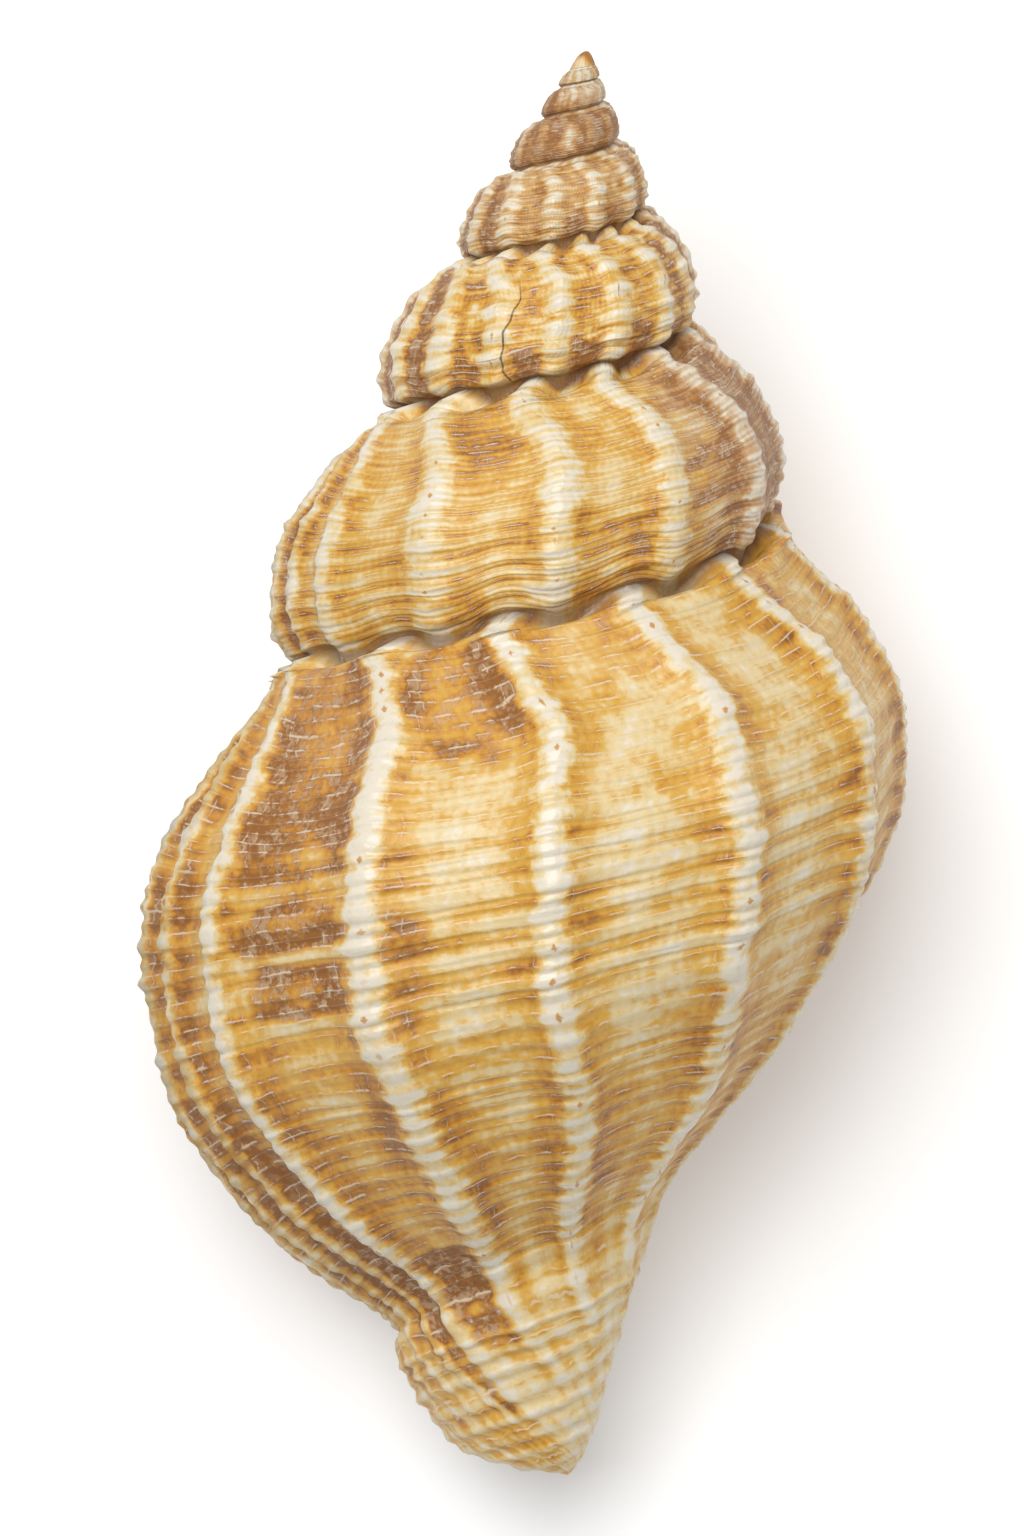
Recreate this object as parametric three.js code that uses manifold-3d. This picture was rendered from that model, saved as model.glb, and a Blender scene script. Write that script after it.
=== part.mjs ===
import * as THREE from 'three';
import { ParametricGeometry } from 'three/addons/geometries/ParametricGeometry.js';
import { mergeGeometries, mergeVertices } from 'three/addons/utils/BufferGeometryUtils.js';
import Module from 'manifold-3d';

// A whelk shell, lying mouth down. Lengths are in millimetres, angles in degrees, and growth
// is counted in turns: 0 at the lip, -1 one whole turn before it.

// The wall at the lip, row by row from the suture down to the canal: distance from the axis,
// distance below the apex, how far the rows lead round the axis, and how fast each row
// widens and sinks as the shell grows (natural logarithm per turn).
const RAMP = { radius: 18.1, depth: 43.7, lead: 10, widen: 0.306, sink: 0.5, rib: 0.35 };
const SHOULDER = { radius: 22.6, depth: 48.4, lead: 1, widen: 0.306, sink: 0.5, rib: 0.9 };
const UPPER = { radius: 26.1, depth: 54.3, lead: 0, widen: 0.306, sink: 0.5, rib: 1 };
const PERIPHERY = { radius: 27.0, depth: 60.4, lead: 0, widen: 0.306, sink: 0.5, rib: 1 };
const CONTACT = { radius: 25.7, depth: 68.6, lead: 0, widen: 0.306, sink: 0.5, rib: 0.9 };
const BASE = { radius: 24.2, depth: 72.4, lead: -2, widen: 0.46, sink: 0.43, rib: 0.8 };
const LOWER_BASE = { radius: 18.4, depth: 78.2, lead: -4, widen: 0.61, sink: 0.355, rib: 0.6 };
const CORNER = { radius: 11.6, depth: 82.3, lead: -4, widen: 0.76, sink: 0.28, rib: 0.35 };
const NECK = { radius: 11.6, depth: 84.1, lead: -10, widen: 1.38, sink: 0.2, rib: 0.2 };
const CANAL = { radius: 7.2, depth: 88.2, lead: -38, widen: 2.0, sink: 0.12, rib: 0 };
const TIP = { radius: 0, depth: 90.3, lead: -110, widen: 2.0, sink: 0, rib: 0 };
const ROWS = [RAMP, SHOULDER, UPPER, PERIPHERY, CONTACT, BASE, LOWER_BASE, CORNER, NECK, CANAL, TIP];
const CONTACT_ROW = 5;
const TIP_ROW = 11;

// Growth slows and quickens a little from the first whorl to the last.
const WIDEN_SLOWING = -0.0715;
const WIDEN_QUICKENING = -0.0071;
const SINK_SLOWING = -0.0058;

const LIP_ANGLE = 225;
const FIRST_TURN = -7;
const APEX_ROUNDING = 0.8;
const AXIS_BOW = 2.8;
const AXIS_BOW_LENGTH = 13.3;

const RIBS_PER_TURN = 12;
const RIB_HEIGHT = 1.3;
const RIB_ROOT = 0.75;
const RIB_SHARPNESS = 2;

const WALL_THICKNESS = 1.9;
const LIP_ROUNDING = 0.5;
const CALLUS = 0.25;
const SUTURE_INSET = 0.45;
const TIP_INSET = 0.45;
const HOLLOW_END = -1.6;

// How the shell settles on the ground.
const REST_PITCH = 10.63;
const REST_ROLL = 9.57;
const GROUND_WEAR = 0.2;
const GROUND_SIZE = 200;

// How finely the wall and the hollow are faceted.
const COLUMNS_PER_TURN = 48;
const SPIRE_STEPS = [0, 0.5, 1, 1.5, 2, 3, 4, 5];
const BASE_STEPS = [5.5, 6, 6.5, 7, 7.5, 8, 8.5, 9, 9.5, 10, 10.5, 11];
const HOLLOW_RINGS_PER_TURN = 24;
const BODY_STEPS = [...SPIRE_STEPS, ...BASE_STEPS];
const COLUMELLA_STEPS = [CONTACT_ROW, ...BASE_STEPS].reverse();

const radians = THREE.MathUtils.degToRad;

// One row of the wall at a moment of growth: radius, depth and lead.
function grownRow(row, turn) {
  const slowing = turn * turn * (WIDEN_SLOWING + WIDEN_QUICKENING * turn);
  const sinkSlowing = row === TIP ? 0 : turn * turn * SINK_SLOWING;
  const radius = row.radius * Math.exp(row.widen * turn + slowing);
  const depth = row.depth * Math.exp(row.sink * turn + sinkSlowing);
  return new THREE.Vector3(radius, depth, row.lead);
}

// The section of the wall at a moment of growth. It starts on the whorl before, at the suture.
function wallSection(turn) {
  const suture = grownRow(CONTACT, turn - 1);
  const points = [suture, ...ROWS.map((row) => grownRow(row, turn))];
  return new THREE.CatmullRomCurve3(points, false, 'catmullrom', 0.5);
}

// How high the rib stands at a row, as a share of its full height.
function ribShare(step) {
  const shares = [CONTACT.rib, ...ROWS.map((row) => row.rib)];
  const low = Math.min(Math.floor(step), TIP_ROW - 1);
  return THREE.MathUtils.lerp(shares[low], shares[low + 1], step - low);
}

// How thick the wall is at a row, as a share of its full thickness. It thins along the canal.
function wallShare(step) {
  return THREE.MathUtils.lerp(1, 0.45, THREE.MathUtils.smoothstep(step, 6.5, 9));
}

// A point of the wall, raised along its outward normal. The rows follow the outline, which the ribs
// reach, so the wall between them is set back. The axis of the young shell bows aside.
function wallPoint(turn, step, raised, target) {
  const section = wallSection(turn);
  const at = section.getPoint(step / TIP_ROW);
  const along = section.getTangent(step / TIP_ROW);
  const length = Math.hypot(along.x, along.y);
  const size = grownRow(PERIPHERY, turn).x / PERIPHERY.radius;
  const setBack = RIB_ROOT * RIB_HEIGHT * size * ribShare(step);
  const out = (raised - setBack) / Math.max(length, 1e-6);
  const angle = radians(LIP_ANGLE + 360 * turn + at.z);
  const round = Math.sqrt(1 - Math.exp(-Math.max(at.y, 0) / APEX_ROUNDING));
  const radius = Math.max(at.x + along.y * out, 0) * round;
  const depth = at.y - along.x * out;
  const bow = AXIS_BOW * (1 - Math.exp(-Math.max(depth, 0) / AXIS_BOW_LENGTH));
  return target.set(radius * Math.cos(angle) - bow, -depth, radius * Math.sin(angle));
}

// A point of the outside, with its rib.
function outsidePoint(turn, step, target) {
  if (step === 0) return outsidePoint(turn - 1, CONTACT_ROW, target);
  const wave = 0.5 + 0.5 * Math.cos(2 * Math.PI * RIBS_PER_TURN * (turn + LIP_ANGLE / 360));
  const size = grownRow(PERIPHERY, turn).x / PERIPHERY.radius;
  const height = RIB_HEIGHT * size * ribShare(step) * Math.pow(wave, RIB_SHARPNESS);
  return wallPoint(turn, step, height, target);
}

// A surface between rows of points, one row for each entry of lines.
function patch(lines) {
  const slices = lines[0].length - 1;
  const stacks = lines.length - 1;
  const place = (u, v, target) => {
    target.copy(lines[Math.round(v * stacks)][Math.round(u * slices)]);
  };
  return new ParametricGeometry(place, slices, stacks);
}

// The outside between two moments of growth.
function outside(fromTurn, toTurn, steps) {
  const columns = Math.round((toTurn - fromTurn) * COLUMNS_PER_TURN);
  const lines = steps.map((step) => {
    const line = [];
    for (let column = 0; column <= columns; column++) {
      const turn = fromTurn + column / COLUMNS_PER_TURN;
      line.push(outsidePoint(turn, step, new THREE.Vector3()));
    }
    return line;
  });
  return patch(lines);
}

// The tip of the spire, closed over the first whorl.
function apexCap() {
  const loop = [];
  for (let column = 0; column <= COLUMNS_PER_TURN; column++) {
    const turn = FIRST_TURN + column / COLUMNS_PER_TURN;
    loop.push(outsidePoint(turn, 0, new THREE.Vector3()));
  }
  for (const step of [...SPIRE_STEPS].reverse().slice(1)) {
    loop.push(outsidePoint(FIRST_TURN, step, new THREE.Vector3()));
  }
  const apex = loop.map(() => new THREE.Vector3(0, 0, 0));
  return patch([apex, loop]);
}

// One ring of the hollow: down inside the outer wall, across the canal, and up the columella.
// Inset draws the ring away from the suture above and the canal's tip below.
function hollowRing(outerTurn, innerTurn, inset, thickness, callus) {
  const section = wallSection(outerTurn);
  const core = wallSection(outerTurn - 1);
  const ring = [];
  for (const step of BODY_STEPS) {
    const top = SUTURE_INSET * (1 - THREE.MathUtils.smoothstep(step, 0, 2));
    const bottom = TIP_INSET * THREE.MathUtils.smoothstep(step, 9, TIP_ROW);
    const at = step + inset * (top - bottom);
    const room = section.getPoint(at / TIP_ROW).x - core.getPoint(at / TIP_ROW).x;
    const wall = Math.min(thickness * wallShare(at), 0.35 * Math.max(room, 0));
    ring.push(wallPoint(outerTurn, at, -wall, new THREE.Vector3()));
  }
  for (const step of COLUMELLA_STEPS) {
    const top = SUTURE_INSET * (1 - THREE.MathUtils.smoothstep(step, CONTACT_ROW, 7));
    const bottom = TIP_INSET * THREE.MathUtils.smoothstep(step, 9, TIP_ROW);
    const at = step + inset * (top - bottom);
    ring.push(wallPoint(innerTurn, at, callus, new THREE.Vector3()));
  }
  ring.push(ring[0].clone());
  return ring;
}

// The hollow that the animal lived in, from the lip back to where it is closed.
function hollow() {
  const mouth = BODY_STEPS.map((step) => outsidePoint(0, step, new THREE.Vector3()));
  for (const step of COLUMELLA_STEPS) mouth.push(outsidePoint(-1, step, new THREE.Vector3()));
  mouth.push(mouth[0].clone());
  const lipTurn = LIP_ROUNDING / (2 * Math.PI * PERIPHERY.radius);
  const lines = [mouth];
  lines.push(hollowRing(lipTurn, -1 - lipTurn, 0.5, 0.45 * WALL_THICKNESS, 0.4 * CALLUS));
  lines.push(hollowRing(0, -1 - 3 * lipTurn, 1, 0.9 * WALL_THICKNESS, CALLUS));
  const rings = Math.round(-HOLLOW_END * HOLLOW_RINGS_PER_TURN);
  for (let index = 1; index <= rings; index++) {
    const turn = -index / HOLLOW_RINGS_PER_TURN;
    const thickness = WALL_THICKNESS * grownRow(PERIPHERY, turn).x / PERIPHERY.radius;
    lines.push(hollowRing(turn, turn - 1, 1, thickness + 0.2, CALLUS));
  }
  const last = lines[lines.length - 1].slice(0, -1);
  const end = new THREE.Vector3();
  for (const point of last) end.addScaledVector(point, 1 / last.length);
  lines.push(mouth.map(() => end));
  return patch(lines.reverse());
}

const wasm = await Module();
wasm.setup();

// A closed geometry as a solid. Patches join along the edges they share.
function solidFrom(geometry) {
  geometry.deleteAttribute('normal');
  geometry.deleteAttribute('uv');
  const joined = mergeVertices(geometry, 1e-4);
  const index = joined.getIndex().array;
  const triangles = [];
  for (let corner = 0; corner < index.length; corner += 3) {
    const [a, b, c] = index.slice(corner, corner + 3);
    if (a !== b && b !== c && c !== a) triangles.push(a, b, c);
  }
  return new wasm.Manifold(new wasm.Mesh({
    numProp: 3,
    vertProperties: joined.getAttribute('position').array,
    triVerts: new Uint32Array(triangles),
  }));
}

// The shell as it lies: pitched and rolled onto its lip and two ribs, which are worn flat there.
const grown = mergeGeometries([
  outside(FIRST_TURN, -1, SPIRE_STEPS),
  outside(-1, 0, BODY_STEPS),
  apexCap(),
  hollow(),
]);
grown.rotateX(radians(REST_PITCH));
grown.rotateY(radians(REST_ROLL));
grown.computeBoundingBox();
const middle = grown.boundingBox.getCenter(new THREE.Vector3());
grown.translate(-middle.x, -middle.y, -grown.boundingBox.min.z - GROUND_WEAR);

const ground = new THREE.BoxGeometry(GROUND_SIZE, GROUND_SIZE, GROUND_SIZE);
ground.translate(0, 0, -GROUND_SIZE / 2);
const lying = solidFrom(grown).subtract(solidFrom(ground)).getMesh();

const geometry = new THREE.BufferGeometry();
geometry.setAttribute('position', new THREE.BufferAttribute(lying.vertProperties, 3));
geometry.setIndex(new THREE.BufferAttribute(lying.triVerts, 1));
geometry.computeVertexNormals();

const ivory = new THREE.MeshStandardMaterial({ color: 0xe6cfa2, roughness: 0.45, metalness: 0 });
const shell = new THREE.Mesh(geometry, ivory);
shell.name = 'shell';
const part = new THREE.Group();
part.add(shell);

export default part;
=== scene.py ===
import math

import bmesh
import bpy
from mathutils import Euler, Matrix, Vector, noise


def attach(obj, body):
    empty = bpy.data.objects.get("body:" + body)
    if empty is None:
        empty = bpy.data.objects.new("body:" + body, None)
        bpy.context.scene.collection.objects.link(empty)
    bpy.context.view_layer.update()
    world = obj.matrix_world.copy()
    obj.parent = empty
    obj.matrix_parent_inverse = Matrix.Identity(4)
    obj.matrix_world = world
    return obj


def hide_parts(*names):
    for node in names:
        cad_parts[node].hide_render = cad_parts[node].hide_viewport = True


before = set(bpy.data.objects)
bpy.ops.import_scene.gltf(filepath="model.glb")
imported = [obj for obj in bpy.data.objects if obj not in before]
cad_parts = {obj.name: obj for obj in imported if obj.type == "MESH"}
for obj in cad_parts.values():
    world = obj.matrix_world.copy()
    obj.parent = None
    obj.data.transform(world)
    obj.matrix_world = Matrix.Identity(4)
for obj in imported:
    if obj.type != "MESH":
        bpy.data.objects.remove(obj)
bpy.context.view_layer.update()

# The shell: one piece of lime, laid down by the animal along the edge of its lip, turn after turn
# round a bowed axis. Lengths are in millimetres until the mesh is laid down. A moment of growth is
# counted in turns, 0 at the lip, and a place across the wall in cords, from the suture to the tip.
RAMP = dict(radius=18.1, depth=43.7, lead=10, widen=0.306, sink=0.5, rib=0.35)
SHOULDER = dict(radius=22.6, depth=48.4, lead=1, widen=0.306, sink=0.5, rib=0.9)
UPPER = dict(radius=26.1, depth=54.3, lead=0, widen=0.306, sink=0.5, rib=1)
PERIPHERY = dict(radius=27.0, depth=60.4, lead=0, widen=0.306, sink=0.5, rib=1)
CONTACT = dict(radius=25.7, depth=68.6, lead=0, widen=0.306, sink=0.5, rib=0.9)
BASE = dict(radius=24.2, depth=72.4, lead=-2, widen=0.46, sink=0.43, rib=0.8)
LOWER_BASE = dict(radius=18.4, depth=78.2, lead=-4, widen=0.61, sink=0.355, rib=0.6)
CORNER = dict(radius=11.6, depth=82.3, lead=-4, widen=0.76, sink=0.28, rib=0.35)
NECK = dict(radius=11.6, depth=84.1, lead=-10, widen=1.38, sink=0.2, rib=0.2)
CANAL = dict(radius=7.2, depth=88.2, lead=-38, widen=2.0, sink=0.12, rib=0)
TIP = dict(radius=0, depth=90.3, lead=-110, widen=2.0, sink=0, rib=0)
WALL = [RAMP, SHOULDER, UPPER, PERIPHERY, CONTACT, BASE, LOWER_BASE, CORNER, NECK, CANAL, TIP]

# Each row lies this many cords below the suture, which is the first.
CORDS = [0, 2, 7, 12.4, 17.3, 24, 27.3, 33.8, 40, 41.5, 46.5, 51]
CONTACT_CORD = 24
TIP_CORD = 51
LIP_ANGLE = 225
FIRST_TURN = -7
WIDEN_SLOWING = -0.0715
WIDEN_QUICKENING = -0.0071
SINK_SLOWING = -0.0058
APEX_ROUNDING = 0.8
AXIS_BOW = 2.8
AXIS_BOW_LENGTH = 13.3


def smooth(value, low, high):
    share = min(max((value - low) / (high - low), 0), 1)
    return share * share * (3 - 2 * share)


def drift(turn, cord, per_turn, per_cord, kind):
    """Unevenness of growth, -1 to 1. Each kind swings at its own rates along and across the wall."""
    return noise.noise(Vector((turn * per_turn, cord * per_cord, kind)))


def grown(row, turn):
    """Radius, depth and lead that a row had at a moment of growth."""
    widen_slowing = turn * turn * (WIDEN_SLOWING + WIDEN_QUICKENING * turn)
    sink_slowing = SINK_SLOWING * turn ** 2 if row is not TIP else 0
    return (row["radius"] * math.exp(row["widen"] * turn + widen_slowing),
            row["depth"] * math.exp(row["sink"] * turn + sink_slowing),
            row["lead"])


# The ribs: twelve to a turn, more on the third whorl back and before each lip where growth rested.
RIBS = 12
RIB_HEIGHT = 1.35
SET_BACK = 0.98
RIB_LEAN = 0.030
RIB_LEAN_CORDS = 2.6
CLOSE_FROM = -2.8
CLOSE_TO = -1.7
CLOSE_RIBS = 3
REST_BEFORE = -1.2083
LAST_REST = -0.2083
REST_TURNS = 0.125
REST_RIBS = 16


def rib_place(turn, cord):
    """Growth as the ribs count it: each one leans over at the suture, and wanders a little below."""
    wander = 0.005 * drift(turn, cord, 9, 0.12, 5)
    wander += 0.0035 * drift(turn, cord, 14, 0.45, 8)
    return turn + wander - RIB_LEAN * (1 - smooth(cord, 0, RIB_LEAN_CORDS))


def rib_count(turn, cord):
    """Ribs grown by this moment."""
    at = rib_place(turn, cord)
    close = CLOSE_RIBS * (min(at - CLOSE_TO, 0) - min(at - CLOSE_FROM, 0))
    resting = min(max(at - REST_BEFORE, 0), REST_TURNS) + max(at - LAST_REST, 0)
    return RIBS * (at + LIP_ANGLE / 360) + close + REST_RIBS * resting


def rib_wave(turn, cord):
    return 0.5 + 0.5 * math.cos(2 * math.pi * rib_count(turn, cord))


def rib_form(turn, cord):
    """A rib's section, 0 to 1: slender on the last turn, broad on its base and on older whorls."""
    wave = rib_wave(turn, cord)
    old = 1 - smooth(turn, -2.1, -1.7)
    before_last = 1 - smooth(turn, -1.2, -0.95)
    broad = max(old, 0.55 * before_last, 0.7 * smooth(cord, 24, 36))
    slender_rib = 0.75 * wave ** 5 + 0.25 * wave ** 1.5
    broad_rib = 0.8 * wave ** 2.2 + 0.2
    return (slender_rib * (1 - broad) + broad_rib * broad) * smooth(turn, -6, -3.4)


def rib_share(step):
    """How strong the ribs are at a row, or between two."""
    shares = [CONTACT["rib"]] + [row["rib"] for row in WALL]
    low = min(int(step), len(WALL) - 1)
    return shares[low] + (shares[low + 1] - shares[low]) * (step - low)


# The suture: the edge of each whorl lies on the one before, and climbs where it has a rib.
SCALLOP = 1.2
SUTURE_DEPTH = 1.0


def climb(turn):
    """How many cords higher than its usual place the next whorl starts on this one."""
    uneven = 1 + 0.8 * drift(turn, 4, 17, 1, 4)
    strength = (1 - smooth(turn, -1.24, -1.12)) * smooth(turn, -4.6, -3.2)
    return SCALLOP * (uneven * rib_wave(turn + 1, 0) ** 1.5 - 0.6) * strength


sections = {}


def section(turn):
    """The wall's rows at a moment of growth, from the suture down, with one more at either end."""
    key = round(turn, 6)
    if key not in sections:
        start = grown(CONTACT, turn - 1)
        if turn > FIRST_TURN + 1:
            start = across(turn - 1, CONTACT_CORD - climb(turn - 1))[0]
        points = [start] + [grown(row, turn) for row in WALL]
        first = [2 * a - b for a, b in zip(points[0], points[1])]
        last = [2 * a - b for a, b in zip(points[-1], points[-2])]
        sections[key] = [first] + points + [last]
    return sections[key]


def across(turn, cord):
    """Radius, depth and lead of the bare wall, its outward normal, and the place among the rows."""
    low = max(i for i in range(len(WALL)) if CORDS[i] <= cord or i == 0)
    share = (cord - CORDS[low]) / (CORDS[low + 1] - CORDS[low])
    before, start, end, after = section(turn)[low:low + 4]
    place, along = [], []
    for p0, p1, p2, p3 in zip(before, start, end, after):
        t0, t1 = 0.5 * (p2 - p0), 0.5 * (p3 - p1)
        cubic, square = 2 * p1 - 2 * p2 + t0 + t1, -3 * p1 + 3 * p2 - 2 * t0 - t1
        place.append(((cubic * share + square) * share + t0) * share + p1)
        along.append((3 * cubic * share + 2 * square) * share + t0)
    length = max(math.hypot(along[0], along[1]), 1e-6)
    return place, (along[1] / length, -along[0] / length), low + share


def size_at(turn):
    return grown(PERIPHERY, turn)[0] / PERIPHERY["radius"]


def point(turn, cord, raised):
    """A point of the wall. The rows follow the outline, which the ribs reach, so it is set back."""
    (radius, depth, lead), out, step = across(turn, cord)
    raised -= SET_BACK * rib_share(step) * size_at(turn)
    rounding = math.sqrt(1 - math.exp(-max(depth, 0) / APEX_ROUNDING))
    radius = max(radius + out[0] * raised, 0) * rounding
    depth = depth + out[1] * raised
    angle = math.radians(LIP_ANGLE + 360 * turn + lead)
    bow = AXIS_BOW * (1 - math.exp(-max(depth, 0) / AXIS_BOW_LENGTH))
    return Vector((radius * math.cos(angle) - bow, -depth, radius * math.sin(angle)))


# The cords: spiral threads in relief, beaded where they cross the ribs. On the young whorls only
# every fourth stands out, later every other one, and on the base and the canal each of them.
CORD_HEIGHT = 0.12
NODE_HEIGHT = 0.14
LUMP_HEIGHT = 0.13
RIM_HEIGHT = 0.5
BODY_RIM_HEIGHT = 0.6


def cord_place(turn, cord):
    """The place across the wall as the cords count it: their spacing is not quite even."""
    return cord + 0.4 * drift(turn, cord, 2.2, 0.31, 1) * smooth(cord, 0, 3)


def cord_form(turn, cord):
    """The section of the cords, and of the beads on the ribs, each 0 to about 1."""
    counted = cord_place(turn, cord)
    fine = smooth(turn, -1.9, -0.5)
    coarse = 1 - smooth(turn, -2.2, -1.7)
    on_base = smooth(cord, 22, 28)
    each = 0.5 + 0.5 * math.cos(2 * math.pi * counted)
    odd = 0.5 - 0.5 * math.cos(math.pi * counted)
    even = (0.5 + 0.5 * math.cos(math.pi * counted)) ** 2 * fine
    fourth = 0.5 - 0.5 * math.cos(0.5 * math.pi * counted)
    threads = max(odd * (1 - coarse) + fourth * coarse, 0.4 * even)
    threads = threads * (1 - on_base) + each * on_base * (0.5 + 0.6 * smooth(cord, 38, 43))
    beads = threads * (1 - fine) + each * fine * (1 - 0.6 * on_base)
    return threads, beads


def relief(turn, cord):
    """How far the outside stands above the bare wall."""
    place, _, step = across(turn, cord)
    size = size_at(turn)
    share = rib_share(step)
    rib = rib_form(turn, cord)
    threads, beads = cord_form(turn, cord)
    old = 1 - smooth(turn, -2.1, -1.7)
    base_ribs = 1 + 0.4 * smooth(cord, 26, 34)
    height = RIB_HEIGHT * size * share * rib * base_ribs * (1 + 0.3 * drift(turn, cord, 9, 0.22, 3))
    room = min(place[0] / 3.5, 1) if turn > -1 else 1
    room *= (1 - smooth(cord, 49, TIP_CORD)) * smooth(cord, 0, 1.5) * smooth(turn, -5.5, -3.6)
    lumps = 1 + 0.9 * drift(turn, cord_place(turn, cord), 24, 0.6, 6)
    cord_relief = threads * CORD_HEIGHT * (1 + 0.8 * smooth(cord, 11, 22))
    cord_relief += beads * NODE_HEIGHT * (1 + 1.1 * old) * rib * share
    height += size ** 0.6 * room * lumps * cord_relief
    height += LUMP_HEIGHT * size * room * drift(turn, cord, 22, 0.5, 9)
    height += RIM_HEIGHT * size * (1 - smooth(cord, 0.8, 3.5))
    if turn > -1:
        rim = smooth(cord, 0.2, 1.0) * (1 - smooth(cord, 2, 6))
        return height + BODY_RIM_HEIGHT * rim * smooth(turn, -1, -0.85)
    tucked = smooth(cord, 16, CONTACT_CORD) ** 2 + smooth(cord, 22, CONTACT_CORD) ** 2
    tucked *= 0.5 * (1 - smooth(turn, -1.12, -1)) * (1.25 + 1.35 * old)
    full = 0.7 + 0.7 * old + 0.8 * (1 - smooth(turn, -3.2, -2.5))
    full *= smooth(cord, 0.3, 2.5) * (1 - smooth(cord, 4, 13)) * (1 - smooth(turn, -1.2, -1))
    return height + size * (full - SUTURE_DEPTH * tucked)


def outside(turn, cord):
    """A point of the outside. Each whorl starts where the one before it leaves off."""
    if cord == 0:
        return outside(turn - 1, CONTACT_CORD)
    if turn < -1:
        cord = cord - climb(turn) * smooth(cord, 10, CONTACT_CORD)
    return point(turn, cord, relief(turn, cord))


# The mouth: a rounded lip, and the hollow behind it, between the wall and the columella. A lip's
# ring has how far it goes past the lip and into the wall, its inset and its callus, as shares.
WALL_THICKNESS = 1.9
LEAST_THICKNESS = 0.15
LIP_ROUNDING = 0.5
LIP_RINGS = [(0, 0, 0, 0), (0.7, 0.25, 0.2, 0.1), (1, 0.5, 0.5, 0.2),
             (0.7, 0.75, 0.8, 0.3), (0, 0.95, 1, 0.4)]
LIP_CALLUS = 0.6
COLUMELLA_CALLUS = 0.25
HOLLOW_END = -1.5
SUTURE_INSET = 0.9
COLUMELLA_INSET = 1.5
TIP_INSET = 2.2


def inside(turn, cord, column, inset, thickness, callus):
    """A point of the hollow: on the outer wall's inner face, or on the columella's face."""
    bottom = TIP_INSET * smooth(cord, 42, TIP_CORD)
    if column:
        top = COLUMELLA_INSET * (1 - smooth(cord, CONTACT_CORD, 34))
        return point(turn - 1, cord + inset * (top - bottom), callus)
    top = SUTURE_INSET * (1 - smooth(cord, 0, 7))
    at = cord + inset * (top - bottom)
    room = across(turn, at)[0][0] - across(turn - 1, at)[0][0]
    thin = 1 - 0.55 * smooth(at, 30, 41.5)
    return point(turn, at, -min(thickness * thin, 0.35 * max(room, 0)))


# Brown stains, darkest on the left of the last turn: turn, cord, reach along and across, strength.
BROWN_STAINS = [
    (-0.250, 8.5, 0.050, 9.0, 0.9), (-0.252, 17.5, 0.045, 1.5, 1.0), (-0.252, 21, 0.045, 1.8, 1.0),
    (-0.335, 4, 0.040, 5, 0.8), (-0.250, 28, 0.050, 7, 0.25), (-0.580, 27, 0.060, 9, 0.25),
    (-0.150, 20, 0.060, 30, 0.40), (-0.060, 22, 0.060, 34, 0.5), (-0.303, 20.5, 0.016, 5, 0.45),
    (-0.415, 2.0, 0.040, 3.5, 0.5), (-0.247, 40, 0.035, 3.5, 1.0), (-0.185, 40, 0.030, 6, 0.9),
    (-1.115, 12, 0.070, 22, 0.75), (-1.420, 20, 0.030, 4, 0.4), (-1.330, 4, 0.035, 4, 0.35),
    (-1.575, 12, 0.090, 24, 0.55), (-2.160, 12, 0.100, 22, 0.9), (-2.420, 22, 0.140, 6, 0.8),
    (-2.640, 12, 0.110, 24, 0.8), (-3.170, 14, 0.100, 16, 0.7), (-3.420, 20, 0.060, 7, 0.7),
    (-3.620, 13, 0.080, 20, 0.6)]
# Stains gone dull and tan, on the last whorl but one and on the one before it. The young whorls
# are tan all over.
TAN_STAINS = [
    (-1.575, 12, 0.105, 24, 1.0), (-2.640, 12, 0.090, 24, 0.7), (-2.100, 12, 0.060, 24, 0.6)]
BROWN_REACH = 0.3
TAN_REACH = 0.4


def stained(turn, cord, stains, reach):
    """The strength of the stains at a place. Each one has a ragged edge."""
    ragged = 0.4 * drift(turn, cord, 60, 0.5, 2) + 0.25 * drift(turn, cord, 25, 1.4, 7)
    total = 0
    for turn_at, cord_at, turn_reach, cord_reach, strength in stains:
        if abs(turn - turn_at) < reach:
            far = math.hypot((turn - turn_at) / turn_reach, (cord - cord_at) / cord_reach)
            total += strength * (1 - smooth(far + ragged, 0.6, 1.15))
    return min(total, 1)


def colouring(turn, cord):
    """How much honey, brown and tan the wall holds at a place."""
    honey = 0.30 * drift(turn, cord, 26, 0.22, 11) + 0.30 * drift(turn, cord, 60, 0.6, 12)
    honey += 0.04 * smooth(turn, -2.2, -1.7) * (1 - smooth(turn, -1.15, -0.9))
    brown = stained(turn, cord, BROWN_STAINS, BROWN_REACH)
    all_over = 0.6 - 0.6 * smooth(turn, -3.3, -2.4) + 0.3 * (1 - smooth(turn, -4.2, -3.7))
    tan = max(stained(turn, cord, TAN_STAINS, TAN_REACH), all_over)
    return honey, brown, tan * (1 - 0.4 * (1 - smooth(turn, -6.4, -5.6)))


mesh = bmesh.new()
turn_of = mesh.verts.layers.float.new("turn")
cord_of = mesh.verts.layers.float.new("cord")
ring_of = mesh.verts.layers.float.new("ring")
column_of = mesh.verts.layers.float.new("column")
stain_of = mesh.verts.layers.float_vector.new("stain")
growth_map = mesh.loops.layers.uv.new("growth")
inside_map = mesh.loops.layers.uv.new("inside")

# Rings are counted from the lip inwards. These two stand for the outside and for the apex's cap.
OUTSIDE = -1
APEX = -2


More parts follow.
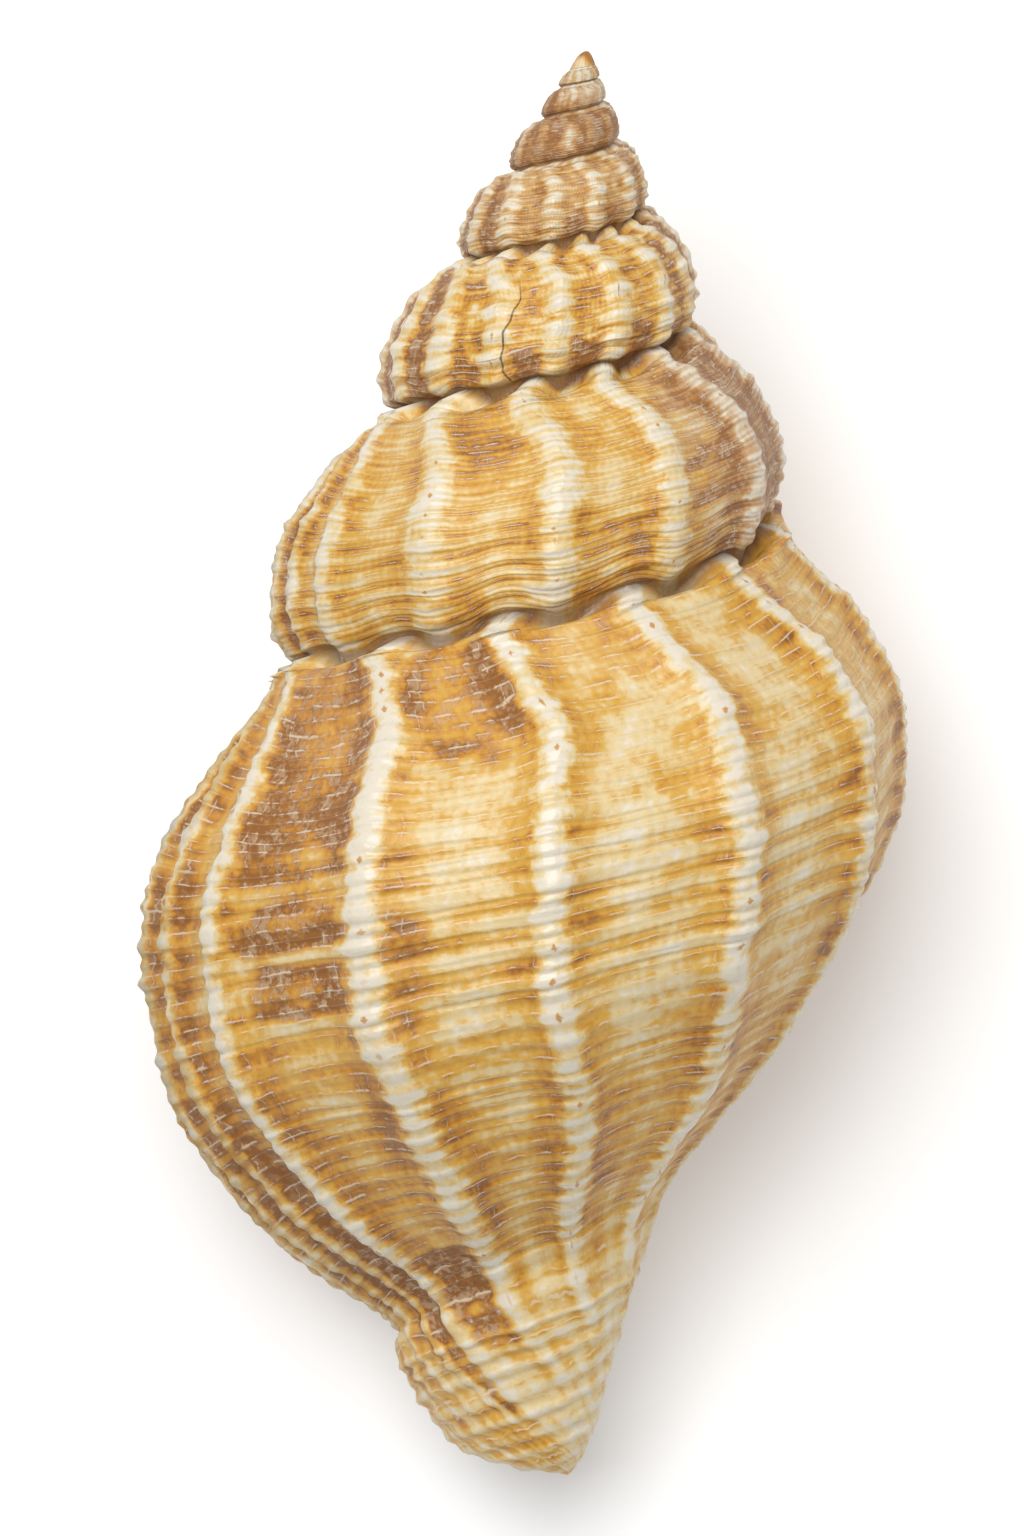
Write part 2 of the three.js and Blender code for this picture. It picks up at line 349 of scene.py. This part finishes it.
def strip(turns, cords):
    """A grid over growth and over the wall: its vertices carry their turn and cord."""
    made = bmesh.ops.create_grid(mesh, x_segments=len(turns) - 1, y_segments=len(cords) - 1,
                                 size=0.5)["verts"]
    for index, vert in enumerate(made):
        vert[turn_of] = turns[index % len(turns)]
        vert[cord_of] = cords[index // len(turns)]
        vert[ring_of] = OUTSIDE
    return made


def turns_between(start, end, per_turn):
    return [start + i / per_turn for i in range((end - start) * per_turn + 1)]


def cords_down_to(end, gap):
    return [i * gap for i in range(round(end / gap) + 1)]


def edges_between(verts, wanted):
    """The edges at these vertices of which both ends are wanted."""
    edges = dict.fromkeys(edge for vert in verts for edge in vert.link_edges)
    return [edge for edge in edges if all(wanted(end) for end in edge.verts)]


# The outside: the young whorls coarse, the later ones finer, the last turn finest. Where a
# coarse strip meets a finer one its edges are cut to match.
YOUNG_STEPS = 96
STEPS = 192
FINE_PER_CORD = 5
FINE = 1 / FINE_PER_CORD
MEDIUM = 0.4
COARSE = 0.8
NEAR = 0.001
young_cords = cords_down_to(CONTACT_CORD, COARSE)
young = strip(turns_between(FIRST_TURN, -4, YOUNG_STEPS), young_cords)
middle = strip(turns_between(-4, -3, STEPS), young_cords)
cut = edges_between(young, lambda vert: (vert[cord_of] > CONTACT_CORD - NEAR
                                         and vert[turn_of] > -5 - NEAR))
cut += edges_between(middle, lambda vert: vert[turn_of] > -3 - NEAR)
bmesh.ops.subdivide_edges(mesh, edges=cut, cuts=1)
later = strip(turns_between(-3, -1, STEPS), cords_down_to(CONTACT_CORD, MEDIUM))
cut = edges_between(later, lambda vert: vert[turn_of] > -1 - NEAR)
bmesh.ops.subdivide_edges(mesh, edges=cut, cuts=1)
strip(turns_between(-1, 0, STEPS), cords_down_to(TIP_CORD, FINE))

# The apex: a small worn cone that closes the first whorl's edge.
APEX_STEPS = 5
APEX_WEAR = 0.25
apex_edge = [(turn, 0) for turn in turns_between(FIRST_TURN, FIRST_TURN + 1, YOUNG_STEPS)]
apex_edge += [(FIRST_TURN, CONTACT_CORD - cord) for cord in young_cords[1:]]
apex = strip(range(len(apex_edge)), range(APEX_STEPS + 1))
for index, vert in enumerate(apex):
    vert[turn_of], vert[cord_of] = apex_edge[index % len(apex_edge)]
    vert[column_of] = index // len(apex_edge) / APEX_STEPS
    vert[ring_of] = APEX


def mouth_edge(gap):
    """Once round the mouth: down the wall, then up the columella and back to the suture."""
    wall = [(0, cord) for cord in cords_down_to(TIP_CORD, gap)]
    columella = [(1, TIP_CORD - cord) for cord in cords_down_to(TIP_CORD - CONTACT_CORD, gap)]
    return wall + columella + [(0, 0)]


def mouth_strip(edge, first_ring, rings):
    made = strip(range(len(edge)), range(rings))
    for index, vert in enumerate(made):
        vert[column_of], vert[cord_of] = edge[index % len(edge)]
        vert[ring_of] = first_ring + index // len(edge)
    return made


# The lip's strip ends where the hollow's begins, whose edges are cut to match.
HOLLOW_STEPS = 48
lip_turn = LIP_ROUNDING / (2 * math.pi * PERIPHERY["radius"])
lip_end = len(LIP_RINGS)
mouth_strip(mouth_edge(FINE), 0, lip_end + 1)
hollow = mouth_strip(mouth_edge(1), lip_end, round(-HOLLOW_END * HOLLOW_STEPS) + 1)
cut = [edge for edge in edges_between(hollow, lambda vert: vert[ring_of] == lip_end)
       if edge.verts[0][column_of] == edge.verts[1][column_of]
       and 0.5 < abs(edge.verts[0][cord_of] - edge.verts[1][cord_of]) < 1.5]
bmesh.ops.subdivide_edges(mesh, edges=cut, cuts=FINE_PER_CORD - 1)

for vert in mesh.verts:
    turn, cord, ring, column = vert[turn_of], vert[cord_of], vert[ring_of], vert[column_of]
    whole = round(cord * FINE_PER_CORD) / FINE_PER_CORD
    if abs(cord - whole) < NEAR / 10:
        cord = whole
    if ring == APEX:
        foot = outside(turn, cord)
        worn = -APEX_WEAR + (foot.y + APEX_WEAR) * column ** 2
        vert.co = (foot.x * column, worn, foot.z * column)
        vert[stain_of] = colouring(turn, cord)
    elif ring == OUTSIDE:
        vert.co = outside(turn, cord)
        vert[stain_of] = colouring(turn, cord)
    elif ring == 0:
        vert.co = outside(-1 if column else 0, cord)
    elif ring < lip_end:
        ahead, thick, inset, callus = LIP_RINGS[int(ring)]
        at = -lip_turn * ring * 0.7 if column else ahead * lip_turn
        vert.co = inside(at, cord, column, inset, thick * WALL_THICKNESS, callus * LIP_CALLUS)
    else:
        at = -(ring - lip_end + 1) / HOLLOW_STEPS
        thick = WALL_THICKNESS * size_at(at) + LEAST_THICKNESS
        vert.co = inside(at, cord, column, 1, thick, COLUMELLA_CALLUS)

# The growth map has the place along and across the wall. The inside map has how far within the
# mouth a place is, and its count of ribs. The cap, where no whorl can be told, has one value.
CAP_GROWTH = (-6.5, 12)
CAP_RIBS = 0.3
for face in mesh.faces:
    for loop in face.loops:
        turn, cord, ring = loop.vert[turn_of], loop.vert[cord_of], loop.vert[ring_of]
        if ring == APEX:
            loop[growth_map].uv = CAP_GROWTH
        elif ring == OUTSIDE:
            loop[growth_map].uv = (rib_place(turn, cord), cord_place(turn, cord))
        else:
            loop[growth_map].uv = (-ring / HOLLOW_STEPS, cord)
        counted = CAP_RIBS if ring == APEX else rib_count(turn, cord)
        loop[inside_map].uv = (smooth(ring, 0, 4), counted)

# Laid down mouth first, on the ground that its lip and ribs are worn flat against.
REST_PLACE = (6.352, 44.375, 25.885)
REST_PITCH = math.radians(10.63)
REST_ROLL = math.radians(9.57)
LAID = Matrix.Translation(REST_PLACE) @ Euler((REST_PITCH, REST_ROLL, 0)).to_matrix().to_4x4()
bmesh.ops.remove_doubles(mesh, verts=mesh.verts, dist=0.0005)
bmesh.ops.holes_fill(mesh, edges=[edge for edge in mesh.edges if edge.is_boundary], sides=0)
bmesh.ops.triangulate(mesh, faces=[face for face in mesh.faces if len(face.verts) > 4])
bmesh.ops.recalc_face_normals(mesh, faces=mesh.faces)
bmesh.ops.transform(mesh, matrix=Matrix.Scale(0.001, 4) @ LAID, verts=mesh.verts)
for vert in mesh.verts:
    vert.co.z = max(vert.co.z, 0)
for face in mesh.faces:
    face.smooth = True
data = bpy.data.meshes.new("whelk")
mesh.to_mesh(data)
mesh.free()
whelk = bpy.data.objects.new("whelk", data)
bpy.context.scene.collection.objects.link(whelk)
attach(whelk, "root")
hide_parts("shell")


class Shade:
    """A shader value. Arithmetic on it adds nodes to its material."""

    def __init__(self, tree, socket=None):
        self.tree = tree
        self.socket = socket

    def node(self, kind, settings, inputs, output=0):
        made = self.tree.nodes.new(kind)
        for name, value in settings.items():
            setattr(made, name, value)
        for name, value in inputs.items():
            if isinstance(value, Shade):
                self.tree.links.new(value.socket, made.inputs[name])
            else:
                made.inputs[name].default_value = value
        return Shade(self.tree, made.outputs[output])

    def math(self, operation, *values):
        return self.node("ShaderNodeMath", {"operation": operation}, dict(enumerate(values)))

    def __add__(self, other):
        return self.math("ADD", self, other)

    def __sub__(self, other):
        return self.math("SUBTRACT", self, other)

    def __rsub__(self, other):
        return self.math("SUBTRACT", other, self)

    def __mul__(self, other):
        return self.math("MULTIPLY", self, other)

    def __abs__(self):
        return self.math("ABSOLUTE", self)

    __radd__ = __add__
    __rmul__ = __mul__

    def whole(self):
        return self.math("ROUND", self)

    def capped(self):
        return self.math("MINIMUM", self, 1.0)

    def wave(self):
        """1 at each whole number, 0 halfway between."""
        return self.math("COSINE", self * (2 * math.pi)) * 0.5 + 0.5

    def ramp(self, low, high):
        return self.node("ShaderNodeMapRange", {"interpolation_type": "SMOOTHSTEP"},
                         {"Value": self, "From Min": low, "From Max": high})

    def mix(self, first, second):
        return self.node("ShaderNodeMix", {"data_type": "RGBA"}, {0: self, 6: first, 7: second}, 2)

    def noise(self, detail, roughness):
        return self.node("ShaderNodeTexNoise", {"noise_dimensions": "3D"},
                         {"Vector": self, "Scale": 1, "Detail": detail, "Roughness": roughness})

    def scaled(self, size):
        return self.node("ShaderNodeVectorMath", {"operation": "SCALE"}, {0: self, "Scale": size})

    def vector(self, x, y, z):
        return self.node("ShaderNodeCombineXYZ", {}, {"X": x, "Y": y, "Z": z})

    def part(self, index):
        return self.node("ShaderNodeSeparateXYZ", {}, {"Vector": self}, index)


lime = bpy.data.materials.new("shell")
lime.use_nodes = True
surface = lime.node_tree.nodes["Principled BSDF"]
sheet = Shade(lime.node_tree)
grow = sheet.node("ShaderNodeUVMap", {"uv_map": "growth"}, {})
turn, cord = grow.part(0), grow.part(1)
lining = sheet.node("ShaderNodeUVMap", {"uv_map": "inside"}, {})
within, ribs = lining.part(0), lining.part(1)
held = sheet.node("ShaderNodeAttribute", {"attribute_name": "stain"}, {}, 1)
honey, brown, tan = held.part(0), held.part(1), held.part(2)

# Unevenness of the lime, swinging round 0: fine grain, mist, and streaks along the cords.
GRAIN_PER_METRE = 2600
MIST_PER_METRE = 1000
LUMPS_PER_METRE = 420
STREAKS_PER_TURN = 26
STREAKS_PER_CORD = 0.8
place = sheet.node("ShaderNodeTexCoord", {}, {}, 3)
grain = place.scaled(GRAIN_PER_METRE).noise(2, 0.7) - 0.5
mist = place.scaled(MIST_PER_METRE).noise(3, 0.6) - 0.5
lump = place.scaled(LUMPS_PER_METRE).noise(1, 0.5) - 0.5
streak = sheet.vector(turn * STREAKS_PER_TURN, cord * STREAKS_PER_CORD, 2.0).noise(2, 0.5) - 0.5

# Parts of the shell, each 0 to 1: the young whorls, the late ones, the last turn, the close ribs
# at its lip, the far end of what is seen of it, which gets painted shade, its lower half, its base and
# its canal.
early = 1 - turn.ramp(-4.1, -3.65)
late = turn.ramp(-2.1, -1.7)
last = turn.ramp(-1.15, -0.95)
at_lip = turn.ramp(-0.20, -0.185)
shaded_far_end = (1 - turn.ramp(-0.60, -0.46)) * last
lower = cord.ramp(10, 17) * late
base = cord.ramp(22, 28)
on_canal = cord.ramp(38, 43)

# The cords by their number, and fine threads and growth lines between them.
GROWTH_LINES_PER_TURN = 170
each_cord = cord.wave()
fourth_cord = 1 - (cord * 0.25).wave()
knot = late * each_cord + (1 - late) * fourth_cord
wavy = cord * 0.5 + streak * (0.25 / math.pi)
odd_cord = 1 - wavy.wave()
between = 1 - (wavy * 2).wave()
bar = odd_cord.ramp(0.45, 0.95) * (1 - base) + (1 - between).ramp(0.35, 0.95) * base
thread = (cord * (0.7 + late * 0.8) + streak + mist * 0.4).wave()
growth = (turn * GROWTH_LINES_PER_TURN + streak * 2 + mist * 0.8).wave() * (1 - on_canal)

# How far away the nearest rib is, and from that the rib's white crest and its stained flank.
number = ribs.whole()
beside = ribs - number
away = abs(beside) * (0.42 + late * 0.23 + last * 0.35) * (1 - cord.ramp(24, 36) * 0.35)
away = away + mist * (0.10 - last * 0.02) + streak * 0.09 + (0.5 - knot) * 0.014
crest = 1 - away.ramp(last * 0.04 - 0.03, 0.17 - last * 0.053 + at_lip * 0.06)
crest = crest * (1 - at_lip * 0.55) * (1 - on_canal) * (1 - early * 0.8)
flank = away.ramp(0.05, 0.13) * (1 - away.ramp(0.11, 0.40))
valley = (1 - late) * away.ramp(0.07, 0.19) * (1 - early * 0.7)

# How deep the staining is, from white enamel through cream, honey and amber to brown; painted shade is
# added to it on the base, the far side of the last turn and the older whorls' lower edges.
depth = 0.35 + honey + mist * 1.1 + streak * 0.35
depth = depth + (thread - 0.5) * (0.28 - last * 0.18) + (growth - 0.5) * 0.06
depth = depth + flank * (0.36 + (0.5 - between) * 0.16) * (1 - on_canal * 0.7)
depth = depth + lower * (0.13 - bar * 0.33) + lower * (0.5 - between) * 0.08
depth = depth + brown * 0.74 * away.ramp(0.06, 0.2) - (1 - cord.ramp(0.6, 1.4)) * 0.12
whitened = 0.10 + late * 0.12 + last * 0.24 + (mist + 0.1) * (1 - last) * 0.5
depth = depth - crest * whitened * (1 - tan * 0.3)
depth = depth - (knot - 0.5) * crest * (0.52 - late * 0.36)
# Painted shade: the base darker, where it faces away from the light; the canal a little lighter.
depth = depth + cord.ramp(22, 30) * (1 - cord.ramp(39, 42)) * 0.20 - on_canal * 0.07
# Painted shade on the far side of the last turn, darker as it turns from the light; the lip's close
# ribs darker too.
depth = depth + at_lip * 0.12 + shaded_far_end * 0.21
depth = depth + valley * (0.10 + brown * 0.25 + mist * 1.2)
# Older whorls darker towards their lower edge: partly brown staining, partly painted shade where they
# turn from the light.
depth = depth + (1 - late) * (1 - crest * 0.6) * cord.ramp(14, 23) * 0.15
depth = depth + early * (0.62 - lump.ramp(-0.08, 0.10)) * 0.75

WHITE = (0.74, 0.67, 0.54, 1)
CREAM = (0.72, 0.56, 0.29, 1)
HONEY = (0.64, 0.36, 0.062, 1)
AMBER = (0.53, 0.23, 0.030, 1)
BROWN = (0.27, 0.105, 0.022, 1)
PALE_TAN = (0.62, 0.48, 0.33, 1)
TAN = (0.50, 0.275, 0.13, 1)
UMBER = (0.29, 0.125, 0.042, 1)
FROST = (0.60, 0.43, 0.27, 1)
PALE_LINE = (0.74, 0.64, 0.48, 1)
CRACK = (0.06, 0.03, 0.02, 1)
# The colour of the painted shade in the sutures' crevices.
SUTURE_SHADE = (0.16, 0.09, 0.05, 1)
GLAZE = (0.80, 0.63, 0.44, 1)

colour = depth.ramp(-0.05, 0.30).mix(WHITE, CREAM)
colour = depth.ramp(0.28, 0.66).mix(colour, HONEY)
colour = depth.ramp(0.62, 0.95).mix(colour, AMBER)
colour = depth.ramp(0.85, 1.20).mix(colour, BROWN)
dull = depth.ramp(0.0, 0.30).mix(WHITE, PALE_TAN)
dull = depth.ramp(0.22, 0.55).mix(dull, TAN)
dull = depth.ramp(0.55, 0.95).mix(dull, UMBER)
colour = (tan * 0.85).mix(colour, dull)
mottled = (brown + tan * 0.8).capped() * (1 - crest)
frosted = (grain * 0.45 + mist * 0.55).ramp(-0.03, 0.10)
colour = (mottled * frosted * 0.5).mix(colour, FROST)

# Small amber marks on some of the ribs' beads.
bead = cord * late + (cord * 0.25 - 0.5) * (1 - late)
bead_number = bead.whole()
chance = sheet.node("ShaderNodeTexWhiteNoise", {"noise_dimensions": "2D"},
                    {"Vector": sheet.vector(number, bead_number, 0.0)})
off_mark = abs(beside) * 28 + abs(bead - bead_number) * 2.4 + grain * 1.5
mark = (1 - off_mark.ramp(0.35, 0.75)) * chance.ramp(0.7, 0.8) * (1 - on_canal) * (1 - early)
colour = (mark * 0.85).mix(colour, AMBER)

# Pale threads and growth lines between the ribs.
hair = thread.ramp(0.92, 0.99) * (mist.ramp(-0.02, 0.08) * 0.85 + 0.15)
hair = hair + growth.ramp(0.95, 0.995) * mist.ramp(0.02, 0.10) * (mottled + flank) * 0.5
colour = (hair.capped() * (1 - crest) * 0.65).mix(colour, PALE_LINE)

# One hairline crack across the third whorl back, and painted shade in the suture's crevice: a dark
# line on both sides of it, fading wider up the covered whorl's lower edge.
CRACK_TURN = -2.317
off_crack = turn - CRACK_TURN + grain * 0.002
off_crack = off_crack + 0.014 * (1 - cord.ramp(6, 14)) + 0.006 * cord.ramp(18, 23)
crack = (1 - abs(off_crack).ramp(0.0004, 0.0016)) * cord.ramp(5, 8) * (1 - cord.ramp(22, 24))
colour = (crack * (0.8 + mist * 0.9)).mix(colour, CRACK)
covered = 1 - turn.ramp(-1.1, -1.0)
# Painted shade: the suture's crevice dark on both whorls, with a wider fade of shade on the covered
# one.
suture_shade = cord.ramp(22.6 + late * 0.6, 24.0) * covered + 1 - cord.ramp(0.0, 0.3)
suture_shade = suture_shade + cord.ramp(20.5, 24.0) * covered * (0.35 - late * 0.15)
colour = (suture_shade.capped() * 0.75).mix(colour, SUTURE_SHADE)
colour = within.mix(colour, GLAZE)
lime.node_tree.links.new(colour.socket, surface.inputs["Base Color"])

surface.inputs["Specular IOR Level"].default_value = 0.35
rough = 0.40 - crest * 0.12 + mottled * 0.14 + grain * 0.15 - within * 0.12
lime.node_tree.links.new(rough.socket, surface.inputs["Roughness"])
bumps = (thread * 0.36 + growth * 0.10 + mist * 0.45 + grain * 0.14 + 0.295) * (1 - within * 0.8)
bump = sheet.node("ShaderNodeBump", {}, {"Strength": 0.5, "Distance": 0.00025, "Height": bumps})
lime.node_tree.links.new(bump.socket, surface.inputs["Normal"])
data.materials.append(lime)

# The ground: a plain sheet of pale paper, lying flat under the shell.
# It glows faintly, so that the shell's shadow on it stays light.
GROUND_SIZE = 1.5
GROUND_GLOW = 0.30
ground_mesh = bmesh.new()
bmesh.ops.create_grid(ground_mesh, x_segments=1, y_segments=1, size=GROUND_SIZE)
ground_data = bpy.data.meshes.new("ground")
ground_mesh.to_mesh(ground_data)
ground_mesh.free()
ground = bpy.data.objects.new("ground", ground_data)
bpy.context.scene.collection.objects.link(ground)
paper = bpy.data.materials.new("paper")
paper.use_nodes = True
paper_surface = paper.node_tree.nodes["Principled BSDF"].inputs
paper_surface["Base Color"].default_value = (0.72, 0.72, 0.72, 1)
paper_surface["Roughness"].default_value = 0.9
paper_surface["Emission Color"].default_value = (1, 1, 1, 1)
paper_surface["Emission Strength"].default_value = GROUND_GLOW
ground_data.materials.append(paper)

# The light: a large soft panel hung above the shell, a little beyond its apex, turned towards it.
# Pale air all round fills the shadows.
AIR_STRENGTH = 0.25
PANEL_SIZE = 0.9
PANEL_WATTS = 16
PANEL_PLACE = Vector((-0.02, 0.30, 1.15))
PANEL_AIM = Vector((0, 0, 0.02))
world = bpy.data.worlds.new("air")
world.use_nodes = True
world.node_tree.nodes["Background"].inputs["Color"].default_value = (1, 1, 1, 1)
world.node_tree.nodes["Background"].inputs["Strength"].default_value = AIR_STRENGTH
bpy.context.scene.world = world
panel = bpy.data.lights.new("panel", "AREA")
panel.shape = "RECTANGLE"
panel.size = PANEL_SIZE
panel.size_y = PANEL_SIZE
panel.energy = PANEL_WATTS
hung = bpy.data.objects.new("panel", panel)
hung.location = PANEL_PLACE
hung.rotation_euler = (PANEL_AIM - PANEL_PLACE).to_track_quat("-Z", "Y").to_euler()
bpy.context.scene.collection.objects.link(hung)
bpy.context.scene.view_settings.view_transform = "Standard"

# The camera: far above the shell's back, with a long lens, so that little is foreshortened.
# Its aim, its tip towards the apex and its roll are stated in the shell's own frame.
LENS = 500
SENSOR = 36
VIEW_HEIGHT = 0.0965
AIM = Vector((-5.52, -45.33, 0))
CAMERA_TIP = 0.115
CAMERA_ROLL = -0.0186
lens = bpy.data.cameras.new("camera")
lens.lens = LENS
lens.sensor_width = SENSOR
lens.clip_end = 10
camera = bpy.data.objects.new("camera", lens)
laid = LAID.to_3x3()
toward = laid @ Vector((0, math.sin(CAMERA_TIP), math.cos(CAMERA_TIP)))
apexward = laid @ Vector((0, math.cos(CAMERA_TIP), -math.sin(CAMERA_TIP)))
sideways = apexward.cross(toward)
right = sideways * math.cos(CAMERA_ROLL) + apexward * math.sin(CAMERA_ROLL)
upward = apexward * math.cos(CAMERA_ROLL) - sideways * math.sin(CAMERA_ROLL)
stand = (LAID @ AIM) * 0.001 + toward * (VIEW_HEIGHT * LENS / SENSOR)
camera.matrix_world = Matrix.Translation(stand) @ Matrix((right, upward, toward)).transposed().to_4x4()
bpy.context.scene.collection.objects.link(camera)
bpy.context.scene.camera = camera
